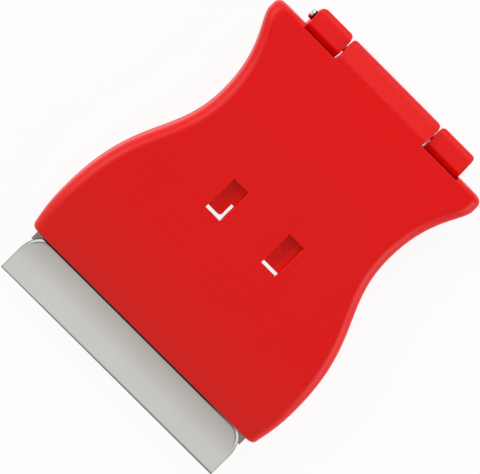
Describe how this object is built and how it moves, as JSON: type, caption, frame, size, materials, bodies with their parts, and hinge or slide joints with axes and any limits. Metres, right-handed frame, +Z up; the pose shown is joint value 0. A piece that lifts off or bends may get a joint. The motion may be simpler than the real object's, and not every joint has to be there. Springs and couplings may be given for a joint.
{
  "type": "paint scraper",
  "caption": "Small hinged paint scraper: waisted plastic covers clamp a short steel blade and swing open on a pin so that it can be changed.",
  "frame": {"origin": "middle of the footprint, on the surface that the rear cover lies on", "axes": "+Y from the blade's edge to the hinge, +Z up through the front cover, X along the blade's edge"},
  "size_m": [0.042, 0.0536, 0.0075],
  "materials": {
    "red_plastic": "satin injection-moulded plastic",
    "pin_steel": "bright drawn steel",
    "blade_steel": "fine ground steel",
    "spine_steel": "dull rolled steel"
  },
  "bodies": {
    "rear_half": {"rear_cover": "red_plastic", "hinge_pin": "pin_steel", "blade": "blade_steel", "blade_spine": "spine_steel", "snap_hook_left": "red_plastic", "snap_hook_right": "red_plastic"},
    "front_half": {"front_cover": "red_plastic"}
  },
  "joints": [
    {"name": "cover_hinge", "type": "hinge", "parent": "rear_half", "child": "front_half", "pos_m": [0, 0.02507, 0.00375], "axis": [-1, 0, 0], "range_deg": [0, 180], "deforming": ["snap_hook_left", "snap_hook_right"]}
  ]
}
